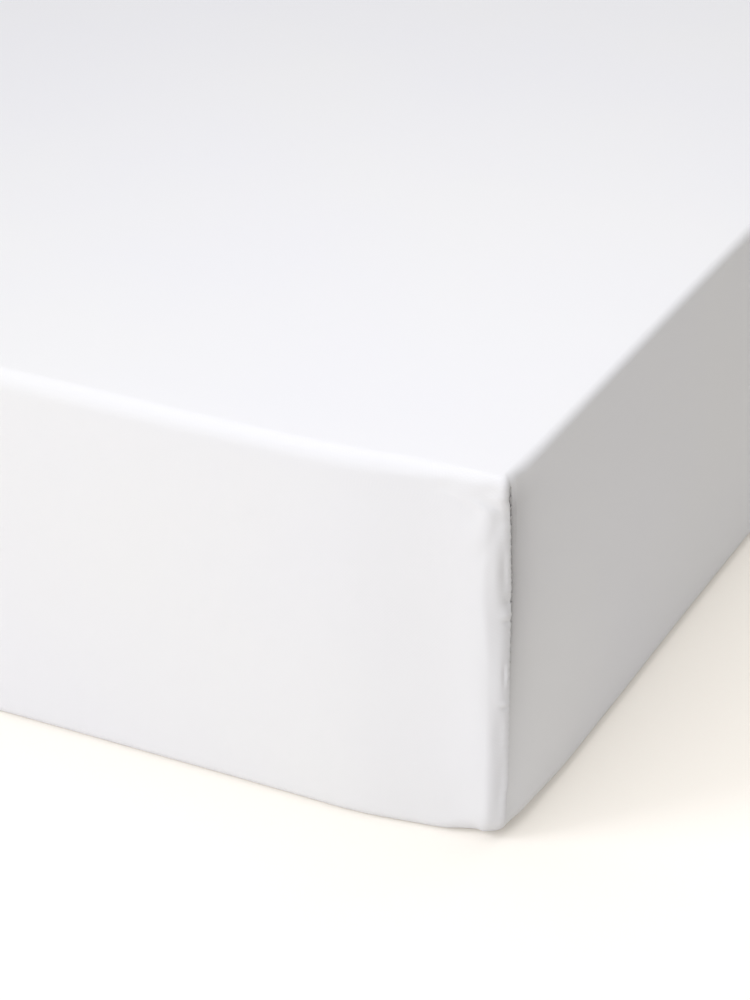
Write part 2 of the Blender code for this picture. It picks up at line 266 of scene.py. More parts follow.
def wall(lines, height):
    """Level place of each line at each height: u inward from the side, v inward from the end."""
    d = lines.distance
    seam_u = at_seam("from_side", height)
    seam_v = at_seam("from_end", height) * lines.wide + at_seam("wander", height) * lines.wander
    drawn = at_seam("drawn", height) * lines.drawn
    every = np.ones(lines.count)
    full_turn, facet = (np.radians(at_seam(name, height)) * every for name in ("turn", "facet"))
    reach, tight = (at_seam(name, height) * every for name in ("reach", "tight"))
    share = np.minimum(d / WRAP, 1.0)
    along, whole_along, inward, whole_inward = end_turn(full_turn, facet, reach, tight, share)
    tuck = at_seam("tuck", height)
    turn_long = (seam_v - drawn - tuck) / whole_inward
    start_u = seam_u + turn_long * whole_along
    straight = np.maximum(0.0, (d - WRAP) / (WIDTH / 2 - WRAP))
    end_u = seam_u + turn_long * along + straight * (WIDTH / 2 - start_u)
    flat = np.where(d < WRAP, 0.0, smooth(end_u, DRAW_FROM, DRAW_TO))
    level, upward, shift = END_WAVES
    waver = np.sin(level * lines.x * (WIDTH / 2 - end_u) + upward * height + shift * lines.y)
    waver = WAVER * waver
    tucked = tuck * (1 - smooth(end_u, seam_u, TUCK_SPAN))
    end_v = drawn * (1 - flat) + waver * flat + tucked + turn_long * (whole_inward - inward)

    side_v = seam_v + d * (LENGTH / 2 - seam_v) / (LENGTH / 2)
    along = lines.y * (LENGTH / 2 - side_v)
    level, upward, shift = SIDE_WAVES
    waver = np.sin(level * along + upward * height + shift * lines.x)
    waver = WAVER * smooth(d, 0.0, DRAW_TO) * waver
    side_u = seam_u * (1 - smooth(d, 0.0, SIDE_EASE)) + waver
    return lines.by_panel(end_u, side_u), lines.by_panel(end_v, side_v)


def place(lines, height, inset):
    """World x and y on the wall, moved inward: straight in, or on the diagonal at a seam."""
    u, v = wall(lines, height)
    d = lines.distance
    of_end, of_side = (smooth(d, 0.0, swing * WRAP) for swing in (SWING_END, SWING_SIDE))
    turn = math.pi / 4 * lines.by_panel(1 - of_end, 1 + of_side)
    x = lines.x * (WIDTH / 2 - u - inset * np.sin(turn))
    y = lines.y * (LENGTH / 2 - v - inset * np.cos(turn))
    return x, y


def top_height(x, y):
    """The nearly flat top: a low crown and a slow waver."""
    crown = CROWN * (1 - (2 * x / WIDTH) ** 2) * (1 - (2 * y / LENGTH) ** 2)
    return DEPTH + crown + TOP_WAVER * np.sin(7 * x + 4 * y) * np.cos(5 * x - 6 * y)


def hem(lines):
    """The inner edge of the turned-under band, straight, and rounded at the corners."""
    half = lines.by_panel(WIDTH / 2, LENGTH / 2)
    share = np.minimum(1.0, lines.distance / UNDER_ROUND_FROM)
    turn = math.pi / 4 * (1 - share)
    rest = np.maximum(0.0, lines.distance - UNDER_ROUND_FROM) / (half - UNDER_ROUND_FROM)
    along = (half - UNDER - UNDER_ROUND) * (1 - rest) + UNDER_ROUND * np.sin(turn)
    out = UNDER_ROUND * (1 - np.cos(turn))
    x = lines.x * lines.by_panel(along, WIDTH / 2 - UNDER - out)
    y = lines.y * lines.by_panel(LENGTH / 2 - UNDER - out, along)
    return x, y


def skin(lines, shell):
    """Points of a shell, as an array of rings by lines by x, y, z."""
    d = lines.distance
    inset = shell.inset + shell.seam_inset * (1 - smooth(d, 0.0, WRAP))
    full = lines.by_panel(SHOULDER["end"], SHOULDER["side"])
    shoulder = SHOULDER_AT_SEAM + (full - SHOULDER_AT_SEAM) * smooth(d, 0.0, SHOULDER_GROWS)
    grown = lines.by_panel(smooth(d, *TOE_GROWS["end"]), smooth(d, *TOE_GROWS["side"]))
    toe = TOE_AT_SEAM + (lines.by_panel(TOE["end"], TOE["side"]) - TOE_AT_SEAM) * grown
    rings = []
    level = top_height(*place(lines, DEPTH, inset + shoulder)) - shell.drop
    for turn in np.linspace(0, math.pi / 2, shell.shoulder_steps + 1):
        z = level - shoulder * (1 - math.cos(turn))
        rings.append((*place(lines, z, inset + shoulder * (1 - math.sin(turn))), z))
    high, low = rings[-1][2], shell.rise + toe
    for share in np.linspace(0, 1, shell.wall_steps + 1)[1:-1]:
        z = high + (low - high) * share
        rings.append((*place(lines, z, inset), z))
    for turn in np.linspace(0, math.pi / 2, shell.toe_steps + 1):
        z = shell.rise + toe * (1 - math.sin(turn))
        rings.append((*place(lines, z, inset + toe * (1 - math.cos(turn))), z))
    foot_x, foot_y, foot_z = rings[-1]
    hem_x, hem_y = hem(lines)
    for share in np.linspace(0, 1, shell.under_steps + 1)[1:]:
        rings.append((foot_x + share * (hem_x - foot_x), foot_y + share * (hem_y - foot_y), foot_z))
    return np.stack([np.stack(np.broadcast_arrays(*ring), axis=-1) for ring in rings])


def facing(points):
    """Unit outward directions of a net of points, from its neighbours up, down, left and right."""
    down = np.gradient(points, axis=0)
    round_bed = np.roll(points, -1, axis=1) - np.roll(points, 1, axis=1)
    out = np.cross(down, round_bed)
    return out / np.linalg.norm(out, axis=-1, keepdims=True)


base = skin(fine, OUTSIDE)
outward = facing(base)
print("rings:", len(base), "points on the walls:", base.shape[0] * base.shape[1])

# %% [markdown]
# ## Seam, puckers, dents
# A seam in thin cloth is a narrow groove with a soft lip on each side, and the thread
# draws small puckers along it. They could be painted in the material, but light and the
# model's outline need real shape. So each is a soft trough or ridge that moves points in or
# out, with its place, size and height in a table, measured from the seam and the floor.

# %% Relief of the cloth
GROOVE_DEPTH = 0.0022
GROOVE_HALF = 0.0011
GROOVE_FROM, GROOVE_TO = 0.090, 0.200   # it opens between these heights
CLOSED = 0.22                           # and below them it keeps this share of its depth
LIP = 0.0006                            # the end panel's edge stands this proud of the seam
LIP_SPREAD = 0.0030
RIDGE = 0.0010                          # the seam's spare cloth behind the side panel
RIDGE_AT, RIDGE_SPREAD = 0.0048, 0.0012
RIDGE_FROM, RIDGE_TO = 0.190, 0.215     # it shows from here upwards
DIP = 0.0010                            # and the side panel dips beyond it
DIP_AT, DIP_SPREAD = 0.0100, 0.0055
DIP_BELOW = 0.5                         # and this share of it goes on below the ridge
SEAM_STARTS = (0.004, 0.030)            # all of this comes in between these two heights
SEAM_STOPS = (DEPTH - 0.0140, DEPTH - 0.0005)
PUCKER_PITCH = 0.0062
PUCKER = 0.00016
PUCKER_REACH = 0.0060
PUCKER_DRIFT, PUCKER_DRIFT_RATE = 1.4, 70   # the pitch comes and goes this much, this often
PUCKER_SHIFT = 2.0                      # from one corner to the next
PUCKER_ON_SIDE = 0.5
SHADE_REACH = 0.012                     # painted shade: the cloth is painted a little darker beside its seam
SHADE = 0.66                            # on the side panel, over the seam's spare cloth, standing in for the corner fold's shadow
SHADE_AT_FLOOR = 0.12                   # the share of it that is left at the floor
SHADE_GROWS = (0.02, 0.19)
END_SHADE, END_SHADE_REACH = 0.10, 0.018    # painted shade on the end panel
END_SHADE_STOPS = (0.205, 0.228)
SHADE_STOPS = (DEPTH - 0.026, DEPTH - 0.004)
SWELL, SMALL_SWELL = 0.00022, 0.00005

CREASE_COLUMNS = ("from_seam", "height", "along", "up", "lean", "rise")     # all on the end panels
CREASE_ROWS = (
    (0.0036, 0.2260, 0.0030, 0.0070, 0.00, -0.0007),    # dent under the corner's point
    (0.0034, 0.2370, 0.0024, 0.0080, -0.20, 0.0015),    # soft cap above it
    (0.0170, 0.2260, 0.0036, 0.0170, -0.42, 0.0007),    # ridge that slants down from it
    (0.0105, 0.2180, 0.0032, 0.0120, -0.42, -0.0003),   # and the hollow beside it
    (0.0190, 0.2020, 0.0034, 0.0090, -0.30, -0.0005),   # and the one at its foot
    (0.0065, 0.1880, 0.0020, 0.0150, 0.00, -0.0009),    # upright trough on the facet
    (0.0120, 0.1860, 0.0026, 0.0180, 0.00, 0.0006),
    (0.0040, 0.1680, 0.0030, 0.0040, 0.20, -0.0010),
    (0.0050, 0.1600, 0.0034, 0.0022, 0.35, 0.0008),     # short hook below it
    (0.0046, 0.1545, 0.0030, 0.0018, 0.50, -0.0007),
    (0.0040, 0.1190, 0.0012, 0.0070, 0.00, 0.0006),     # loop of spare cloth by the seam
    (0.0062, 0.1190, 0.0012, 0.0080, 0.00, -0.0007),
    (0.0046, 0.0990, 0.0034, 0.0015, 0.10, 0.0007),     # short level wrinkle
    (0.0050, 0.0960, 0.0036, 0.0020, 0.10, -0.0009),
    (0.0180, 0.1120, 0.0050, 0.0240, 0.00, -0.0008),    # long shallow trough further out
    (0.0240, 0.1000, 0.0050, 0.0300, 0.00, 0.0004),
    (0.0090, 0.0800, 0.0040, 0.0160, 0.00, -0.0007),
    (0.0070, 0.0400, 0.0034, 0.0260, 0.00, -0.0008),    # trough that fades to the floor
    (0.0150, 0.0360, 0.0036, 0.0300, 0.00, 0.0004),     # soft ridge beside it
    (0.0330, 0.0200, 0.0090, 0.0160, 0.00, -0.0007),    # shallow hollow over the floor
    (0.0240, 0.0080, 0.0036, 0.0080, 0.00, -0.0006),    # dent at the floor
    (0.0320, 0.0010, 0.0100, 0.0150, 0.00, -0.0003),    # where the cloth rolls under early
    (0.0420, 0.0060, 0.0040, 0.0060, 0.00, 0.0005),     # and the step next to it
)
CREASES = [dict(zip(CREASE_COLUMNS, row)) for row in CREASE_ROWS]


def seam_relief(lines, height):
    """How far the cloth stands out beside its seams, in metres, and how much shade is painted
    there.
    """
    away = np.broadcast_to(lines.distance, height.shape)
    shown = smooth(height, *SEAM_STARTS) * (1 - smooth(height, *SEAM_STOPS))
    opened = CLOSED + (1 - CLOSED) * smooth(height, GROOVE_FROM, GROOVE_TO)
    groove = bump(away, 0.0, GROOVE_HALF) * shown * opened
    upper = smooth(height, RIDGE_FROM, RIDGE_TO)
    ridge = RIDGE * bump(away, RIDGE_AT, RIDGE_SPREAD) * upper
    dip = DIP * bump(away, DIP_AT, DIP_SPREAD) * (DIP_BELOW + (1 - DIP_BELOW) * upper)
    lip = lines.by_panel(LIP * np.exp(-away / LIP_SPREAD), ridge - dip)
    drift = PUCKER_DRIFT * np.sin(height * PUCKER_DRIFT_RATE) + PUCKER_SHIFT * lines.corner
    wave = np.sin(2 * math.pi * height / PUCKER_PITCH + drift)
    pucker = PUCKER * wave * bump(away, GROOVE_HALF, PUCKER_REACH)
    pucker = pucker * lines.by_panel(1.0, PUCKER_ON_SIDE)
    # painted shade beside the seams: on the side panel, fading towards the floor, and on the end
    # panel, below the corner's top
    grown = SHADE_AT_FLOOR + (1 - SHADE_AT_FLOOR) * smooth(height, *SHADE_GROWS)
    of_side = SHADE * np.exp(-away / SHADE_REACH) * grown
    of_end = END_SHADE * bump(away, 0.0, END_SHADE_REACH) * (1 - smooth(height, *END_SHADE_STOPS))
    shade = lines.by_panel(of_end, of_side) * (1 - smooth(height, *SHADE_STOPS))
    return shown * (lip + pucker) - GROOVE_DEPTH * groove, np.maximum(groove, shade)


def crease_relief(lines, height):
    """The dents and ridges of the table, at each corner in its own strength."""
    total = np.zeros(height.shape)
    for crease in CREASES:
        above = height - (crease["height"] + lines.lift)
        beside = lines.distance - crease["from_seam"] - crease["lean"] * above
        hill = bump(beside, 0.0, crease["along"]) * bump(above, 0.0, crease["up"])
        total += crease["rise"] * lines.strength * hill * lines.end
    return total


def unevenness(points):
    """Slow and very low swells, as in cloth that is not quite taut."""
    x, y, z = points[..., 0], points[..., 1], points[..., 2]
    swell = np.sin(31 * x + 12 * z + 2 * np.sin(9 * y)) * np.cos(23 * y - 17 * z + 1.3)
    small = np.sin(83 * x - 41 * z + 0.7) * np.sin(71 * y + 57 * z)
    return SWELL * swell + SMALL_SWELL * small


height = base[..., 2]
# the second value is painted shade, darkest in each seam's groove and softer beside it
seam_out, painted_seam_shade = seam_relief(fine, height)
on_walls = np.ones(len(base))
on_walls[-OUTSIDE.under_steps - 1:] = 0.0
relief = (seam_out + crease_relief(fine, height) + unevenness(base)) * on_walls[:, None]
cloth = base + outward * relief[..., None]
cloth[..., 2] = np.maximum(cloth[..., 2], 0.0)
print("relief in mm, from and to:", (relief.min() * 1000).round(2), (relief.max() * 1000).round(2))

# %% [markdown]
# ## One closed mesh
# The outer face is the walls and a net across the top. The inner face has fewer points,
# because it only shows from below, where the hem is. Thickening the outer face with a
# modifier would give a second fine face that no one sees, and would fold over itself in
# the seam's groove. A rim joins the two faces along the hem.

# %% Mesh helpers
class Builder:
    """Collects points and faces, and the flat place on the cut cloth of each face's corners."""

    def __init__(self):
        self.points, self.faces, self.flat, self.values = [], [], [], []
        self.count = 0

    def add(self, points, values=None):
        points = np.asarray(points, dtype=float).reshape(-1, 3)
        start = self.count
        self.points.append(points)
        self.values.append(np.zeros(len(points)) if values is None else np.ravel(values))
        self.count += len(points)
        return np.arange(start, self.count)

    def face(self, corners, flat):
        self.faces.append([int(c) for c in corners])
        self.flat += [tuple(place) for place in flat]

    def make(self, name, value_name=None):
        data = bpy.data.meshes.new(name)
        data.from_pydata(np.concatenate(self.points).tolist(), [], self.faces)
        data.uv_layers.new(name="cut").data.foreach_set("uv", np.array(self.flat).ravel())
        if value_name:
            own = data.attributes.new(value_name, "FLOAT", "POINT")
            own.data.foreach_set("value", np.concatenate(self.values))
        data.validate()
        data.shade_smooth()
        thing = bpy.data.objects.new(name, data)
        bpy.context.scene.collection.objects.link(thing)
        return thing


def flat_places(lines, points):
    """Where each wall point lies on the flat panel that the sheet was cut from: for its own
    panel, and for the panel before it, whose last line a seam also is."""
    steps = np.linalg.norm(np.diff(points, axis=0), axis=-1)
    fall = np.concatenate([np.zeros((1, lines.count)), np.cumsum(steps, axis=0)])
    start = np.abs(points[0])

    def on(number, corner_x, corner_y):
        panel = PANELS[number][0]
        if panel == "end":
            along = corner_x * (WIDTH / 2 - lines.distance)
            out = corner_y * (start[:, 1] + fall)
            return np.stack([np.broadcast_to(along, out.shape), out], axis=-1)
        along = corner_y * (LENGTH / 2 - lines.distance)
        out = corner_x * (start[:, 0] + fall)
        return np.stack([out, np.broadcast_to(along, out.shape)], axis=-1)

    ends, sides = on(0, lines.x, lines.y), on(1, lines.x, lines.y)
    own = np.where(lines.end[:, None], ends, sides)
    other = np.where(lines.end[:, None], sides, ends)
    return own, other


def add_walls(builder, lines, points, values=None, outside=True):
    """Faces round the bed. Returns the index of every point."""
    rings, count = points.shape[:2]
    index = builder.add(points, values).reshape(rings, count)
    own, other = flat_places(lines, points)
    for j in range(count):
        k = (j + 1) % count
        after = own if lines.number[k] == lines.number[j] else other
        for i in range(rings - 1):
            corners = [index[i, j], index[i + 1, j], index[i + 1, k], index[i, k]]
            flat = [own[i, j], own[i + 1, j], after[i + 1, k], after[i, k]]
            if outside:
                builder.face(corners, flat)
            else:
                builder.face(corners[::-1], flat[::-1])
    return index


def add_top(builder, lines, ring, index, height_at, outside=True):
    """Close the top ring: a net between its lines, strips along it, and one face a corner."""
    kept = [np.flatnonzero((lines.number == n) & (lines.distance >= NET_FROM)) for n in range(4)]
    foot, right, head, left = kept[0], kept[1], kept[2][::-1], kept[3][::-1]
    t = ((ring[right, 1] + LENGTH / 2) / LENGTH)[:, None]
    s = ((ring[foot, 0] + WIDTH / 2) / WIDTH)[None, :]
    x = ring[foot, 0] + t * (ring[head, 0] - ring[foot, 0])
    y = ring[left, 1][:, None] + s * (ring[right, 1] - ring[left, 1])[:, None]
    net = np.stack([x, y, height_at(x, y)], axis=-1)
    number = builder.add(net).reshape(net.shape[:2])
    at = {int(n): (float(p[0]), float(p[1])) for n, p in zip(number.ravel(), net.reshape(-1, 3))}
    at.update({int(n): (float(p[0]), float(p[1])) for n, p in zip(index, ring)})

    def face(corners):
        corners = corners if outside else corners[::-1]
        builder.face(corners, [at[int(c)] for c in corners])

    for i in range(len(number) - 1):
        for j in range(number.shape[1] - 1):
            face([number[i, j], number[i, j + 1], number[i + 1, j + 1], number[i + 1, j]])
    inner = [number[0], number[:, -1], number[-1][::-1], number[::-1, 0]]
    for side in range(4):
        outer = index[kept[side]]
        for i in range(len(outer) - 1):
            face([outer[i], outer[i + 1], inner[side][i + 1], inner[side][i]])
        start, stop = kept[side][-1], kept[(side + 1) % 4][0]
        stop += lines.count if stop < start else 0
        face([index[i % lines.count] for i in range(start, stop + 1)] + [inner[side][-1]])


# %% [markdown]
# ## The sheet
# A real sheet is one cut panel with four sewn corners. Its mesh could be cut and joined from
# parts, but one net of points has no gaps to close, so the walls, the top, the inner face and
# the hem's rim are built into one mesh.

# %% Build the sheet
def make_sheet():
    few = Lines(few_lines)
    inside = skin(few, INSIDE)
    builder = Builder()
    outer = add_walls(builder, fine, cloth, painted_seam_shade)
    add_top(builder, fine, cloth[0], outer[0], top_height)
    inner = add_walls(builder, few, inside, outside=False)
    add_top(builder, few, inside[0], inner[0], lambda x, y: top_height(x, y) - CLOTH, outside=False)
    own = flat_places(fine, cloth)[0]
    where = {key: j for j, key in enumerate(fine.keys())}
    matching = [where[key] for key in few.keys()]
    for a in range(few.count):
        b = (a + 1) % few.count
        i, j = matching[a], matching[b]
        j += fine.count if j < i else 0
        between = [k % fine.count for k in range(i, j + 1)]
        corners = [outer[-1, k] for k in between] + [inner[-1, b], inner[-1, a]]
        builder.face(corners[::-1], [own[-1, k] for k in between][::-1] + [own[-1, between[0]]] * 2)
    # the 'seam' attribute carries the seams' painted shade
    return builder.make("sheet_cloth", "seam")


sheet = make_sheet()
triangles = sum(len(face.vertices) - 2 for face in sheet.data.polygons)
print("sheet:", len(sheet.data.vertices), "points,", triangles, "triangles")

# %% [markdown]
# ## The mattress
# It hardly shows, only through the opening under the bed, so it is plain. A block with sharp
# edges would push through the cloth, so it is made of the same rings, further in, and closed
# above and below.

# %% Build the mattress
CORE = Shell(CLOTH + AIR, SEAM_AIR, CLOTH + TOP_AIR, CLOTH + FLOOR_AIR, 6, 14, 6, 0)


def make_mattress():
    few = Lines(few_lines)
    rings = skin(few, CORE)
    builder = Builder()
    index = add_walls(builder, few, rings)
    add_top(builder, few, rings[0], index[0], lambda x, y: top_height(x, y) - CORE.drop)
    add_top(builder, few, rings[-1], index[-1], lambda x, y: 0 * x + CORE.rise, outside=False)
    return builder.make("mattress_core")


mattress = make_mattress()
print("mattress:", len(mattress.data.polygons), "faces")

# %% [markdown]
# ## Node sums as plain Python
# A material is a net of small nodes, and so is a tree that places stitches. Wiring them one
# by one is long, so a socket is wrapped in a class that knows plus, minus and times, and an
# expression then adds its own nodes.

# %% A wrapped socket and a node maker
class Value:
    """One socket of a node. Sums and products of it add their Math nodes."""

    def __init__(self, maker, socket):
        self.maker, self.socket = maker, socket

    def _with(self, operation, first, second):
        return self.maker.node("ShaderNodeMath", {"operation": operation}, [first, second])

    def __add__(self, other):
        return self._with("ADD", self, other)

    def __sub__(self, other):
        return self._with("SUBTRACT", self, other)

    def __rsub__(self, other):
        return self._with("SUBTRACT", other, self)

    def __mul__(self, other):
        return self._with("MULTIPLY", self, other)

    __radd__ = __add__
    __rmul__ = __mul__


class Maker:
    """Adds any node to a tree."""

    def __init__(self, tree):
        self.tree = tree

    def set(self, socket, value):
        if isinstance(value, Value):
            self.tree.links.new(value.socket, socket)
        else:
            socket.default_value = value

    def node(self, kind, settings=None, inputs=(), output=0):
        """Add a node: its settings first, then its inputs by name or in order."""
        node = self.tree.nodes.new(kind)
        for key, value in (settings or {}).items():
            setattr(node, key, value)
        pairs = inputs.items() if isinstance(inputs, dict) else enumerate(inputs)
        for key, value in pairs:
            self.set(node.inputs[key], value)
        return Value(self, node.outputs[output])

    def sine(self, value):
        return self.node("ShaderNodeMath", {"operation": "SINE"}, [value])

    def mix(self, share, first, second):
        colours = {"Factor": share, 6: first, 7: second}
        return self.node("ShaderNodeMix", {"data_type": "RGBA"}, colours, 2)

    def ramp(self, value, low, high, start=0.0, end=1.0):
        """start up to low, end from high on, and straight between them."""
        return self.node("ShaderNodeMapRange", {"clamp": True}, [value, low, high, start, end])


class Surface(Maker):
    """A new material, its shader's inputs, and the ways its patterns are placed."""

    def __init__(self, name):
        self.material = bpy.data.materials.new(name)
        self.material.use_nodes = True
        super().__init__(self.material.node_tree)
        self.inputs = self.tree.nodes["Principled BSDF"].inputs

    def noise(self, place, scale, detail):
        inputs = {"Vector": place, "Scale": scale, "Detail": detail}
        return self.node("ShaderNodeTexNoise", {}, inputs)

    def bump(self, height, distance):
        return self.node("ShaderNodeBump", {}, {"Height": height, "Distance": distance})

    def cut_place(self):
        """The place on the flat cut cloth: as a vector, across it and along it."""
        cut = self.node("ShaderNodeUVMap", {"uv_map": "cut"})
        split = self.tree.nodes.new("ShaderNodeSeparateXYZ")
        self.set(split.inputs[0], cut)
        return cut, Value(self, split.outputs[0]), Value(self, split.outputs[1])

    def object_place(self):
        return self.node("ShaderNodeTexCoord", {}, (), "Object")


print("node tools ready")

# %% [markdown]
# ## White cotton
# Plain weave: each yarn passes over and under the ones that cross it, so the face is a
# chequer of tiny swells. Modelled threads would be millions, so the swells are a bump. They
# follow the cut panel's own flat map, so the yarns run with the cloth round every edge.
# Shade is painted into the seam's groove, where light is lost between its two edges, and
# more softly beside the seam.

# %% Cotton
YARN = 0.00113                          # from one yarn to the next
YARN_RISE = 0.000012
YARN_SHADE = 0.05                       # how much darker the gaps between yarns are
YARN_DRIFT = 0.0006                     # how far a yarn strays
SEAM_PAINTED_SHADE = 0.76                        # how dark the painted shade gets at its deepest, in a seam's groove


def make_cotton():
    m = Surface("white cotton")
    cut, across, along = m.cut_place()
    drift = (m.noise(cut, 55.0, 2.0) - 0.5) * YARN_DRIFT
    weave = m.sine((across + drift) * (math.pi / YARN)) * m.sine((along + drift) * (math.pi / YARN))
    woven = weave * m.ramp(m.noise(cut, 26.0, 3.0), 0.40, 0.62, 0.25, 1.0)
    tint = m.ramp(m.noise(cut, 4.0, 2.0), 0.35, 0.65)
    white = m.mix(tint, (0.925, 0.925, 0.945, 1), (0.935, 0.935, 0.938, 1))
    white = m.mix(m.ramp(woven, -1.0, 1.0, YARN_SHADE, 0.0), white, (0.5, 0.5, 0.52, 1))
    # painted shade: the 'seam' attribute darkens the white towards a dark grey in and beside each
    # seam
    seam = m.node("ShaderNodeAttribute", {"attribute_name": "seam"}, (), "Fac")
    m.set(m.inputs["Base Color"], m.mix(seam * SEAM_PAINTED_SHADE, white, (0.22, 0.205, 0.20, 1)))
    m.set(m.inputs["Normal"], m.bump(woven, YARN_RISE))
    m.inputs["Roughness"].default_value = 0.85
    m.inputs["Specular IOR Level"].default_value = 0.25
    m.inputs["Sheen Weight"].default_value = 0.06
    m.inputs["Sheen Roughness"].default_value = 0.5
    return m.material


cotton = make_cotton()
sheet.data.materials.append(cotton)
print("cotton nodes:", len(cotton.node_tree.nodes))

# %% [markdown]
# ## Stitches
# A thread holds the two cut edges together, and shows as short bars across the seam's
# groove. Bars could be set one by one, but Geometry Nodes keep their pitch whatever length
# the seam has. The tree walks up each seam and sets a bar at every step, each with its own
# slight slant and size.

# %% Stitches up the seams
STITCH = {"Pitch": PUCKER_PITCH, "Half length": 0.0021, "Half depth": 0.0004,
          "Half height": 0.0012, "Slant": 0.15, "Seed": 7}
SMALLEST, LARGEST = 0.8, 1.15           # of a stitch's size
BAR_POINTS = 42                         # of one stitch
STITCH_SINK = 0.0006                    # below the cloth's face, inside the groove
STITCH_FROM, STITCH_TO = 0.125, 0.243   # below these heights the seam is closed over its thread


def make_thread():
    m = Surface("white thread")
    spot = m.object_place()
    tint = m.noise(spot, 900.0, 1.0)
    # the thread's grey, well below the cloth's white, is painted shade of the groove it lies in;
    # the noise varies it at random
    m.set(m.inputs["Base Color"], m.mix(tint, (0.50, 0.49, 0.49, 1), (0.68, 0.67, 0.67, 1)))
    m.inputs["Roughness"].default_value = 0.8
    m.inputs["Specular IOR Level"].default_value = 0.25
    return m.material


def make_stitch_tree(thread):
    tree = bpy.data.node_groups.new("stitches up a seam", "GeometryNodeTree")
    tree.interface.new_socket("Seams", in_out="INPUT", socket_type="NodeSocketGeometry")
    for name, value in STITCH.items():
        kind = "NodeSocketInt" if isinstance(value, int) else "NodeSocketFloat"
        tree.interface.new_socket(name, in_out="INPUT", socket_type=kind)
    tree.interface.new_socket("Stitches", in_out="OUTPUT", socket_type="NodeSocketGeometry")
    m = Maker(tree)
    sockets = tree.nodes.new("NodeGroupInput").outputs
    given = {socket.name: Value(m, socket) for socket in sockets if socket.name}
    line = m.node("GeometryNodeMeshToCurve", {}, {"Mesh": given["Seams"]})
    steps = m.node("GeometryNodeResampleCurve", {"mode": "LENGTH"},
                   {"Curve": line, "Length": given["Pitch"]})
    out = m.node("GeometryNodeInputNamedAttribute", {"data_type": "FLOAT_VECTOR"},
                 {"Name": "outward"})
    upward = m.node("GeometryNodeInputTangent")
    turn = m.node("FunctionNodeAlignRotationToVector", {"axis": "Z"}, {"Vector": upward})
    turn = m.node("FunctionNodeAlignRotationToVector", {"axis": "Y", "pivot_axis": "Z"},
                  {"Rotation": turn, "Vector": out})
    angle = m.node("FunctionNodeRandomValue", {"data_type": "FLOAT"},
                   {2: given["Slant"] * 0.5, 3: given["Slant"] * 1.5, "Seed": given["Seed"]}, 1)
    slant = m.node("FunctionNodeAxisAngleToRotation", {}, {"Axis": (0.0, 1.0, 0.0), "Angle": angle})
    turn = m.node("FunctionNodeRotateRotation", {"rotation_space": "LOCAL"},
                  {"Rotation": turn, "Rotate By": slant})
    halves = [given[name] for name in ("Half length", "Half depth", "Half height")]
    size = m.node("ShaderNodeCombineXYZ", {}, halves)
    share = m.node("FunctionNodeRandomValue", {"data_type": "FLOAT"},
                   {2: SMALLEST, 3: LARGEST, "Seed": given["Seed"] + 1}, 1)
    size = m.node("ShaderNodeVectorMath", {"operation": "SCALE"}, {0: size, "Scale": share})
    bar = m.node("GeometryNodeMeshIcoSphere", {}, {"Radius": 1.0, "Subdivisions": 2})
    bars = m.node("GeometryNodeInstanceOnPoints", {},
                  {"Points": steps, "Instance": bar, "Rotation": turn, "Scale": size})
    solid = m.node("GeometryNodeRealizeInstances", {}, [bars])
    solid = m.node("GeometryNodeSetShadeSmooth", {}, [solid])
    finished = m.node("GeometryNodeSetMaterial", {}, {"Geometry": solid, "Material": thread})
    m.set(tree.nodes.new("NodeGroupOutput").inputs[0], finished)
    return tree


def make_stitches():
    at_height = (height >= STITCH_FROM) & (height <= STITCH_TO)
    places, ways, edges = [], [], []
    for line in np.flatnonzero(fine.distance == 0):
        rows = np.flatnonzero(at_height[:OUTSIDE.shoulder_steps + OUTSIDE.wall_steps, line])
        first = len(places)
        places += [tuple(base[i, line] - STITCH_SINK * outward[i, line]) for i in rows]
        ways += [tuple(outward[i, line]) for i in rows]
        edges += [(k, k + 1) for k in range(first, len(places) - 1)]
    data = bpy.data.meshes.new("seam lines")
    data.from_pydata(places, edges, [])
    own = data.attributes.new("outward", "FLOAT_VECTOR", "POINT")
    own.data.foreach_set("vector", np.ravel(ways))
    holder = bpy.data.objects.new("seam lines", data)
    bpy.context.scene.collection.objects.link(holder)
    tree = make_stitch_tree(make_thread())
    modifier = holder.modifiers.new("stitches", "NODES")
    modifier.node_group = tree
    for item in tree.interface.items_tree:
        if item.name in STITCH:
            modifier[item.identifier] = STITCH[item.name]
    whole = holder.evaluated_get(bpy.context.evaluated_depsgraph_get())
    stitches = bpy.data.objects.new("seam_stitches", bpy.data.meshes.new_from_object(whole))
    bpy.context.scene.collection.objects.link(stitches)
    bpy.data.objects.remove(holder)
    return stitches


stitches = make_stitches()
print("stitches:", len(stitches.data.vertices) // BAR_POINTS)

# %% [markdown]
# ## Ticking and floor
# The mattress has a plain, strong cotton, woven on the slant. It could do without a pattern,
# because it hardly shows, but from below a bare white face would look unfinished. The floor
# is pale paper that only serves the picture.

# %% Ticking and floor
TWILL_PITCH, TWILL_RISE = 0.0012, 0.00004
FLOOR_REACH = 25.0
FLOOR_GLOW = 0.300                      # paper lit from below, so that shadows on it stay pale


def make_ticking():
    m = Surface("plain ticking")
    cut, across, along = m.cut_place()
    twill = m.sine((across + along) * (math.pi / TWILL_PITCH))
    tint = m.noise(cut, 900.0, 1.0)
    m.set(m.inputs["Base Color"], m.mix(tint, (0.83, 0.82, 0.79, 1), (0.89, 0.88, 0.85, 1)))
    m.set(m.inputs["Normal"], m.bump(twill, TWILL_RISE))
    m.inputs["Roughness"].default_value = 0.9
    return m.material


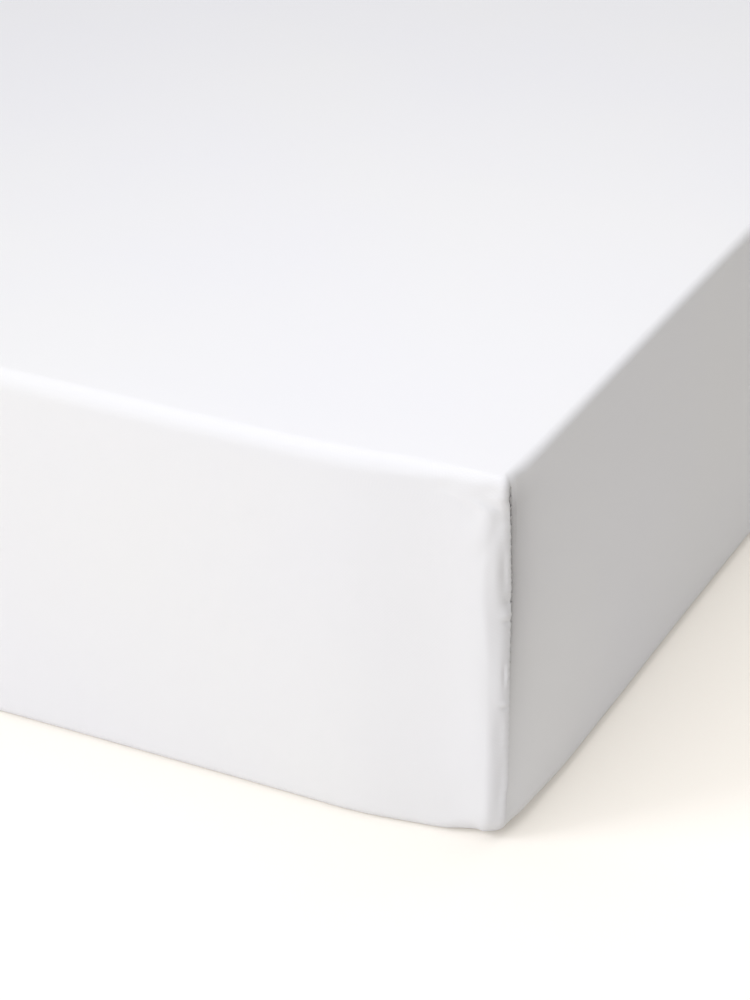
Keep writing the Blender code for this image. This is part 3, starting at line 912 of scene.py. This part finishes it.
def make_floor():
    m = Surface("pale paper")
    grain = m.noise(m.object_place(), 300.0, 2.0)
    m.set(m.inputs["Base Color"], m.mix(grain, (0.71, 0.68, 0.63, 1), (0.73, 0.70, 0.65, 1)))
    m.inputs["Roughness"].default_value = 0.95
    m.inputs["Specular IOR Level"].default_value = 0.1
    m.inputs["Emission Color"].default_value = (1.0, 0.945, 0.862, 1)
    m.inputs["Emission Strength"].default_value = FLOOR_GLOW
    data = bpy.data.meshes.new("floor")
    r = FLOOR_REACH
    data.from_pydata([(-r, -r, 0), (r, -r, 0), (r, r, 0), (-r, r, 0)], [], [(0, 1, 2, 3)])
    floor = bpy.data.objects.new("floor", data)
    bpy.context.scene.collection.objects.link(floor)
    data.materials.append(m.material)
    only_floor = bpy.data.collections.new("lit by the paper's glow")
    only_floor.objects.link(floor)
    floor.light_linking.receiver_collection = only_floor
    return floor, only_floor


mattress.data.materials.append(make_ticking())
floor, only_floor = make_floor()
print("floor and ticking made")

# %% [markdown]
# ## Light
# White cloth shows its folds only through soft, uneven light. Small lamps would draw a hard
# bright line along the top edge, where the light of each adds up. So a very large soft lamp
# stands in front, a little to the left, and a second one hangs behind. A small one above the
# foot makes the top lightest there. A fourth lights the paper alone, so that it is near white
# round the bed. A weak even sky, the pale floor and a dim strip beside the bed fill the long
# side, the strip most at its foot.

# %% Lamps and sky
AIM = Vector((0.25, -0.90, 0.20))
LAMP_COLUMNS = ("name", "azimuth", "height", "distance", "size", "power", "colour")
LAMP_ROWS = (
    ("great soft lamp in front", -20, 25, 5.0, 5.0, 160.0, (0.98, 0.985, 1.02)),
    ("great soft lamp behind", 180, 60, 5.0, 5.0, 113.5, (0.995, 0.988, 1.005)),
    ("soft lamp above", 50, 75, 1.1, 0.8, 3.6, (0.995, 0.985, 1.005)),
    ("lamp for the paper", -50, 35, 8.0, 3.0, 232.0, (0.95, 0.985, 1.08)),
)
FOR_PAPER = LAMP_ROWS[-1][0]            # this one lights the floor and nothing else
SKY = 0.245
CARD_WIDTH, CARD_LENGTH, CARD_POWER = 0.30, 2.20, 0.41
CARD_GAP, CARD_LIFT = 0.005, 0.002      # it lies this far from the side and above the floor


def make_lamp(name, azimuth, height, distance, size, power, colour):
    """Angles are in degrees, sizes in metres and power in watts."""
    azimuth, height = math.radians(azimuth), math.radians(height)
    away = math.cos(height)
    way = Vector((math.sin(azimuth) * away, -math.cos(azimuth) * away, math.sin(height)))
    lamp = bpy.data.lights.new(name, "AREA")
    lamp.shape = "SQUARE"
    lamp.size = size
    lamp.energy = power
    lamp.color = colour
    holder = bpy.data.objects.new(name, lamp)
    bpy.context.scene.collection.objects.link(holder)
    holder.location = AIM + way * distance
    holder.rotation_euler = way.to_track_quat("Z", "Y").to_euler()
    holder.visible_camera = False
    if name == FOR_PAPER:
        holder.light_linking.receiver_collection = only_floor


def make_card():
    """A pale strip on the floor beside the long side, which lights the foot of that side."""
    lamp = bpy.data.lights.new("pale strip beside the bed", "AREA")
    lamp.shape = "RECTANGLE"
    lamp.size, lamp.size_y = CARD_WIDTH, CARD_LENGTH
    lamp.energy = CARD_POWER
    holder = bpy.data.objects.new(lamp.name, lamp)
    bpy.context.scene.collection.objects.link(holder)
    across = WIDTH / 2 + CARD_GAP + CARD_WIDTH / 2
    holder.location = (across, -LENGTH / 2 + CARD_LENGTH / 2, CARD_LIFT)
    holder.rotation_euler = (math.pi, 0, 0)
    holder.visible_camera = False
    only_sheet = bpy.data.collections.new("lit by the strip")
    only_sheet.objects.link(sheet)
    holder.light_linking.receiver_collection = only_sheet


def make_sky():
    world = bpy.data.worlds.new("sky")
    bpy.context.scene.world = world
    world.use_nodes = True
    sky = world.node_tree.nodes["Background"]
    sky.inputs["Color"].default_value = (1.0, 1.0, 1.0, 1)
    sky.inputs["Strength"].default_value = SKY


for lamp_row in LAMP_ROWS:
    make_lamp(**dict(zip(LAMP_COLUMNS, lamp_row)))
make_card()
make_sky()
bpy.context.scene.view_settings.view_transform = "Standard"
print("lamps:", len(LAMP_ROWS), "and the strip")

# %% [markdown]
# The sheet was cut from one panel. Its flat size is the top, the four sides and the band
# that is turned under, less the four squares that the corner seams close.

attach(sheet, "root")
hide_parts("fitted_sheet")
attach(stitches, "root")
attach(mattress, "root")
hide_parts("mattress")
